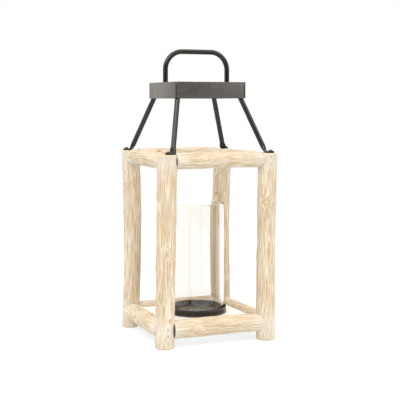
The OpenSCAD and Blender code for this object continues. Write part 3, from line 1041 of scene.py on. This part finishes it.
for name, z_ring in (("top_rail_nails", TOP_RING), ("bottom_rail_nails", LOW_RING)):
    brads = place_copies(name.replace("nails", "brads"), brad_shape, *brads_of_ring(z_ring),
                         brad_steel, spread=0.06, tilt=0.06, seed=7)
    make_piece(brads, brad_steel, "steel_brad", name, smooth_angle=40)

# %% [markdown]
# ### Weld beads
# Each rod is welded to the inside of the band along both lines where it nearly touches. A
# bead is a row of overlapping drops, so it is made as copies of one drop along short lines.

# %% Weld beads
DROP_RADIUS, DROP_STEP, BEAD_START, BEAD_END = 1.5 * MM, 1.6 * MM, 4 * MM, 17 * MM
drop_tool = bmesh.new()
bmesh.ops.create_icosphere(drop_tool, subdivisions=3, radius=DROP_RADIUS)
bmesh.ops.scale(drop_tool, vec=(1, 1, 0.75), verts=drop_tool.verts)
drop = close_up("weld_drop", drop_tool)
AGAINST, BESIDE = BAND_HALF - BAND_WALL - 0.4 * MM, 2.6 * MM    # the wall, a rod's middle
bead_places = []
heights = np.arange(band_low.z + BEAD_START, band_low.z + BEAD_END, DROP_STEP)
for sx in (-1, 1):
    for side in (-1, 1):
        for x, y in ((AGAINST, BESIDE), (AGAINST, rod_centre - BESIDE),
                     (rod_centre - BESIDE, AGAINST)):
            bead_places += [Vector((sx * x, side * y, z)) for z in heights]
beads = place_copies("weld_beads", drop, bead_places, [up] * len(bead_places), rod_black,
                     spread=0.15, tilt=0.4, seed=11)
make_piece(beads, rod_black, "black_rod", smooth_angle=60)

# %% [markdown]
# ### Finish nails of the board
# These are driven under the surface of the rails, so nothing of them shows. Their CAD shape is
# right as it is, and it only gets the finish of bare steel wire.

# %% Board nails
nodes["board_nails"].data.materials.clear()
nodes["board_nails"].data.materials.append(brad_steel)
print("board nails keep their CAD shape")

# %% [markdown]
# ## The studio
# The lantern stands on a sheet of white acrylic that is lit from below, so its shadow stays
# pale and the floor runs out into white. What shines back from the lacquer is another matter:
# the room behind the camera is dark, and three tall strips of light stand round the lantern,
# so a black rod shows thin bright lines and stays black between them. What the camera sees
# past the lantern, or through the glass, is plain white. The world's shader picks among these
# by the kind of ray that asks.

# %% Floor
FLOOR_HALF = 1.5
floor_mesh = bpy.data.meshes.new("studio_floor")
corners = ((-1, -1), (1, -1), (1, 1), (-1, 1))
floor_mesh.from_pydata([(x * FLOOR_HALF, y * FLOOR_HALF, 0) for x, y in corners], [],
                       [(0, 1, 2, 3)])
acrylic, acrylic_shader, _ = new_material("white_acrylic_lit_from_below")
fill(acrylic_shader, {"Base Color": colour("A4A8AE"), "Roughness": 0.9,
                      "Specular IOR Level": 0.1, "Emission Color": colour("FBFDFF"),
                      "Emission Strength": 0.64})
new_object("studio_floor", floor_mesh, acrylic)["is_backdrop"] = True
print("floor:", 2 * FLOOR_HALF, "m square")

# %% Surroundings
AMBIENT_LOW, AMBIENT_HIGH = 0.50, 2.0
world = bpy.data.worlds.new("studio")
bpy.context.scene.world = world
world.use_nodes = True
sky = world.node_tree
sky.nodes.clear()
n = partial(add, sky)
way = n("ShaderNodeTexCoord", out="Generated")
ray = n("ShaderNodeLightPath", out=None).outputs
_, north, height = n(SPLIT, way, out=None).outputs


def strip(direction, narrow, wide, power):
    """A tall strip light round a level direction, between two angles in degrees."""
    level = n(UNIT, n(V_MUL, way, (1, 1, 0)))
    facing = n(DOT, level, Vector(direction).normalized(), out="Value")
    return n(RANGE, facing, math.cos(math.radians(wide)), math.cos(math.radians(narrow)), 0.0,
             power, interpolation_type="SMOOTHSTEP")


# What shines back: a dim wall that brightens upward, light from above, the floor, three strips
wall = n(RANGE, height, 0.08, 0.30, 0.45, 1.2)
mirrored = n(MUL, n(RANGE, north, -0.25, 0.15, 0.05, 1.0), wall)
for more in (n(RANGE, height, 0.25, 0.6, 0.0, 2.2), n(RANGE, height, -0.30, -0.10, 1.0, 0.0),
             strip((-1, -0.15, 0), 8, 22, 2.2), strip((0.61, -0.79, 0), 4, 12, 1.6),
             strip((-0.40, 0.92, 0), 10, 20, 1.5)):
    mirrored = n(MAX, mirrored, more)
ambient = n(RANGE, height, 0.0, 1.0, AMBIENT_LOW, AMBIENT_HIGH)
white = n("ShaderNodeBackground", colour("FFFFFF"), 1.0)
through_glass = n("ShaderNodeBackground", colour("F8FBFF"), 1.33)
seen = n("ShaderNodeMixShader", ray["Is Glossy Ray"],
         n("ShaderNodeBackground", colour("FFFDFA"), ambient),
         n("ShaderNodeBackground", colour("FFF9F2"), mirrored))
seen = n("ShaderNodeMixShader", ray["Is Transmission Ray"], seen, through_glass)
seen = n("ShaderNodeMixShader", ray["Is Camera Ray"], seen, white)
n("ShaderNodeOutputWorld", {"Surface": seen}, out=None)
print("surroundings:", len(sky.nodes), "nodes")


# %% [markdown]
# ### Lights
# Two square soft lights: a key from the front left and above, and a weaker one from the right
# that keeps the shaded side of the logs readable.

# %% Lights
def soft_light(name, place, size, watts, target=(0, 0, 0.2)):
    """A square area light that points at the lantern and is not seen itself."""
    light = bpy.data.lights.new(name, "AREA")
    light.size, light.energy = size, watts
    obj = bpy.data.objects.new(name, light)
    obj.location = place
    obj.rotation_euler = (Vector(target) - Vector(place)).to_track_quat("-Z", "Y").to_euler()
    obj.visible_camera = False
    bpy.context.scene.collection.objects.link(obj)


soft_light("key", (-1.3, -1.4, 1.9), 1.4, 20)
soft_light("fill", (1.6, -1.4, 1.0), 1.6, 8)
print("lights:", [light.name for light in bpy.data.lights])

# %% [markdown]
# ### Camera
# A long lens from 1.6 m keeps the posts nearly upright. It looks slightly down, so that the
# tray's floor and the tops of the rails show.

# %% Camera
CAMERA_HEADING, CAMERA_TILT = math.radians(22.34), math.radians(5.364)
CAMERA_PLACE = Vector((-0.6112, -1.5020, 0.3676))
lens = bpy.data.cameras.new("camera")
lens.lens, lens.sensor_width = 91.65, 36.0
camera = bpy.data.objects.new("camera", lens)
camera.location = CAMERA_PLACE
camera.rotation_euler = (math.radians(90) - CAMERA_TILT, 0, -CAMERA_HEADING)
bpy.context.scene.collection.objects.link(camera)
bpy.context.scene.camera = camera
bpy.context.scene.view_settings.view_transform = "Standard"
print("camera at", tuple(round(v, 3) for v in CAMERA_PLACE))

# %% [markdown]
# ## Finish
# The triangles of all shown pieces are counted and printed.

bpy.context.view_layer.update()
total = sum(len(p.vertices) - 2 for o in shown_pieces() for p in o.data.polygons)
print("triangles in all:", total)
